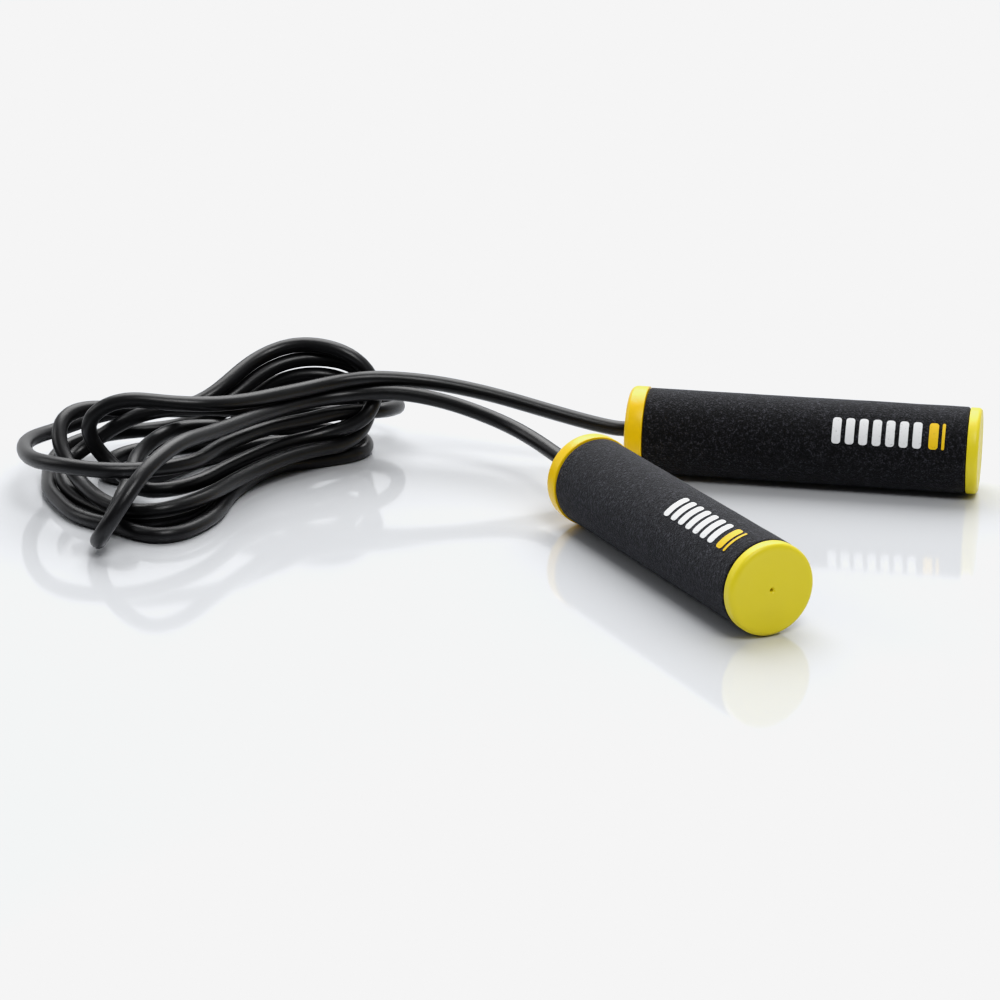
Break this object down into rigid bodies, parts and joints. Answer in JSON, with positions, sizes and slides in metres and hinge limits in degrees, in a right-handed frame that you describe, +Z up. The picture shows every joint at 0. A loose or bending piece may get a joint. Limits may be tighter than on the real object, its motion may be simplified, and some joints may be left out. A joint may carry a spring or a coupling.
{
  "type": "jump rope",
  "caption": "Jump rope: a round cord gathered in a loose hank, its ends turning in foam-covered handles with end caps.",
  "frame": {"origin": "on the floor, under the middle of the box around the two handles; the rope is left out of that box", "axes": "+Z up; +X along handle B from its front collar to its rear cap; the handles' longest side is along Y; handle A points 52 degrees towards -Y from handle B"},
  "size_m": [0.4102, 0.2379, 0.054],
  "materials": {
    "cord_pvc": "satin",
    "grip_foam": "matte",
    "cap_plastic": "satin",
    "tube_plastic": "satin",
    "washer_steel": "satin",
    "ferrule_metal": "satin"
  },
  "bodies": {
    "rope": {"rope_hank": "cord_pvc", "rope_lead_a": "cord_pvc", "cord_end_a": "cord_pvc", "stop_ferrule_a": "ferrule_metal", "thrust_washer_a": "washer_steel", "rope_lead_b": "cord_pvc", "cord_end_b": "cord_pvc", "stop_ferrule_b": "ferrule_metal", "thrust_washer_b": "washer_steel"},
    "handle_a": {"foam_grip_a": "grip_foam", "core_tube_a": "tube_plastic", "front_collar_a": "cap_plastic"},
    "cap_a": {"rear_cap_a": "cap_plastic"},
    "handle_b": {"foam_grip_b": "grip_foam", "core_tube_b": "tube_plastic", "front_collar_b": "cap_plastic"},
    "cap_b": {"rear_cap_b": "cap_plastic"}
  },
  "joints": [
    {"name": "handle_a_swivel", "type": "hinge", "parent": "rope", "child": "handle_a", "pos_m": [-0.07373, 0.02218, 0.0195], "axis": [0.6157, -0.788, 0], "continuous": true},
    {"name": "cap_a_pull", "type": "slide", "parent": "handle_a", "child": "cap_a", "axis": [0.6157, -0.788, 0], "range_m": [0, 0.02]},
    {"name": "handle_b_swivel", "type": "hinge", "parent": "rope", "child": "handle_b", "pos_m": [-0.06623, 0.09068, 0.0195], "axis": [1, 0, 0], "continuous": true},
    {"name": "cap_b_pull", "type": "slide", "parent": "handle_b", "child": "cap_b", "axis": [1, 0, 0], "range_m": [0, 0.02]}
  ]
}
